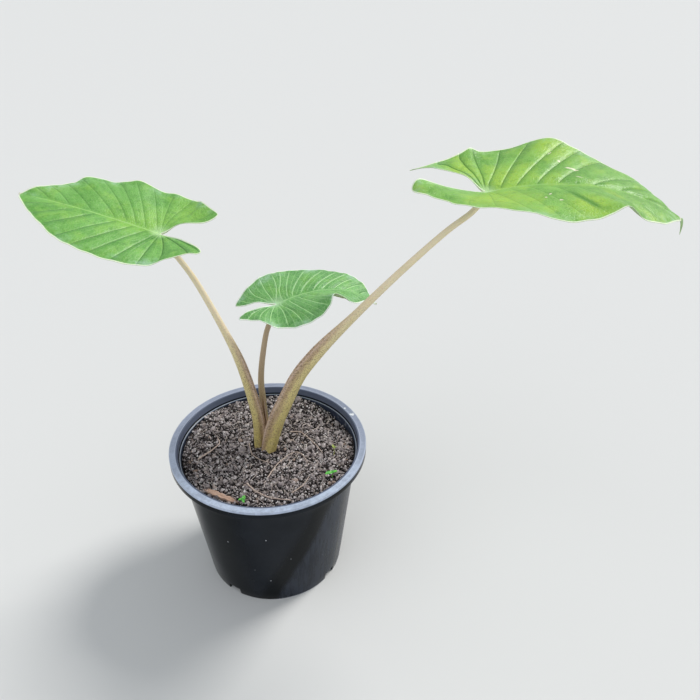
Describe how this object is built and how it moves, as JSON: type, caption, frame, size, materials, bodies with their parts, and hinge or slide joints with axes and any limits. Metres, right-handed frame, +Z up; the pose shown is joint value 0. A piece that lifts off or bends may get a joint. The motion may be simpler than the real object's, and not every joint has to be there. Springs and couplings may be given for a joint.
{
  "type": "potted colocasia",
  "caption": "Young elephant-ear plant with arrow-shaped wavy leaves on channelled stalks, standing in gritty potting mix in a round tapered nursery pot.",
  "frame": {"origin": "centre of the pot's underside, on the surface that it stands on", "axes": "+Z up; +X toward the tallest leaf; +Y away from the picture's viewer"},
  "size_m": [0.5651, 0.2, 0.4506],
  "materials": {
    "pot_plastic": "satin",
    "potting_mix": "matte",
    "rootstock_skin": "matte",
    "stalk_skin": "satin",
    "stalk_skin_brown": "satin",
    "blade_yellow_green": "satin",
    "blade_mid_green": "satin",
    "root_skin": "matte",
    "bark": "matte",
    "seedling_green": "satin"
  },
  "bodies": {
    "root": {"pot": "pot_plastic", "soil": "potting_mix", "rootstock": "rootstock_skin", "stalk_left": "stalk_skin", "stalk_centre": "stalk_skin_brown", "stalk_right": "stalk_skin", "blade_left": "blade_yellow_green", "blade_centre": "blade_mid_green", "blade_right": "blade_yellow_green", "root_front": "root_skin", "root_right": "root_skin", "root_base": "root_skin", "root_loop": "root_skin", "root_left": "root_skin", "root_corner": "root_skin", "bark_strip": "bark", "seedling_right": "seedling_green", "seedling_front": "seedling_green", "seedling_sprig": "seedling_green"}
  },
  "joints": []
}
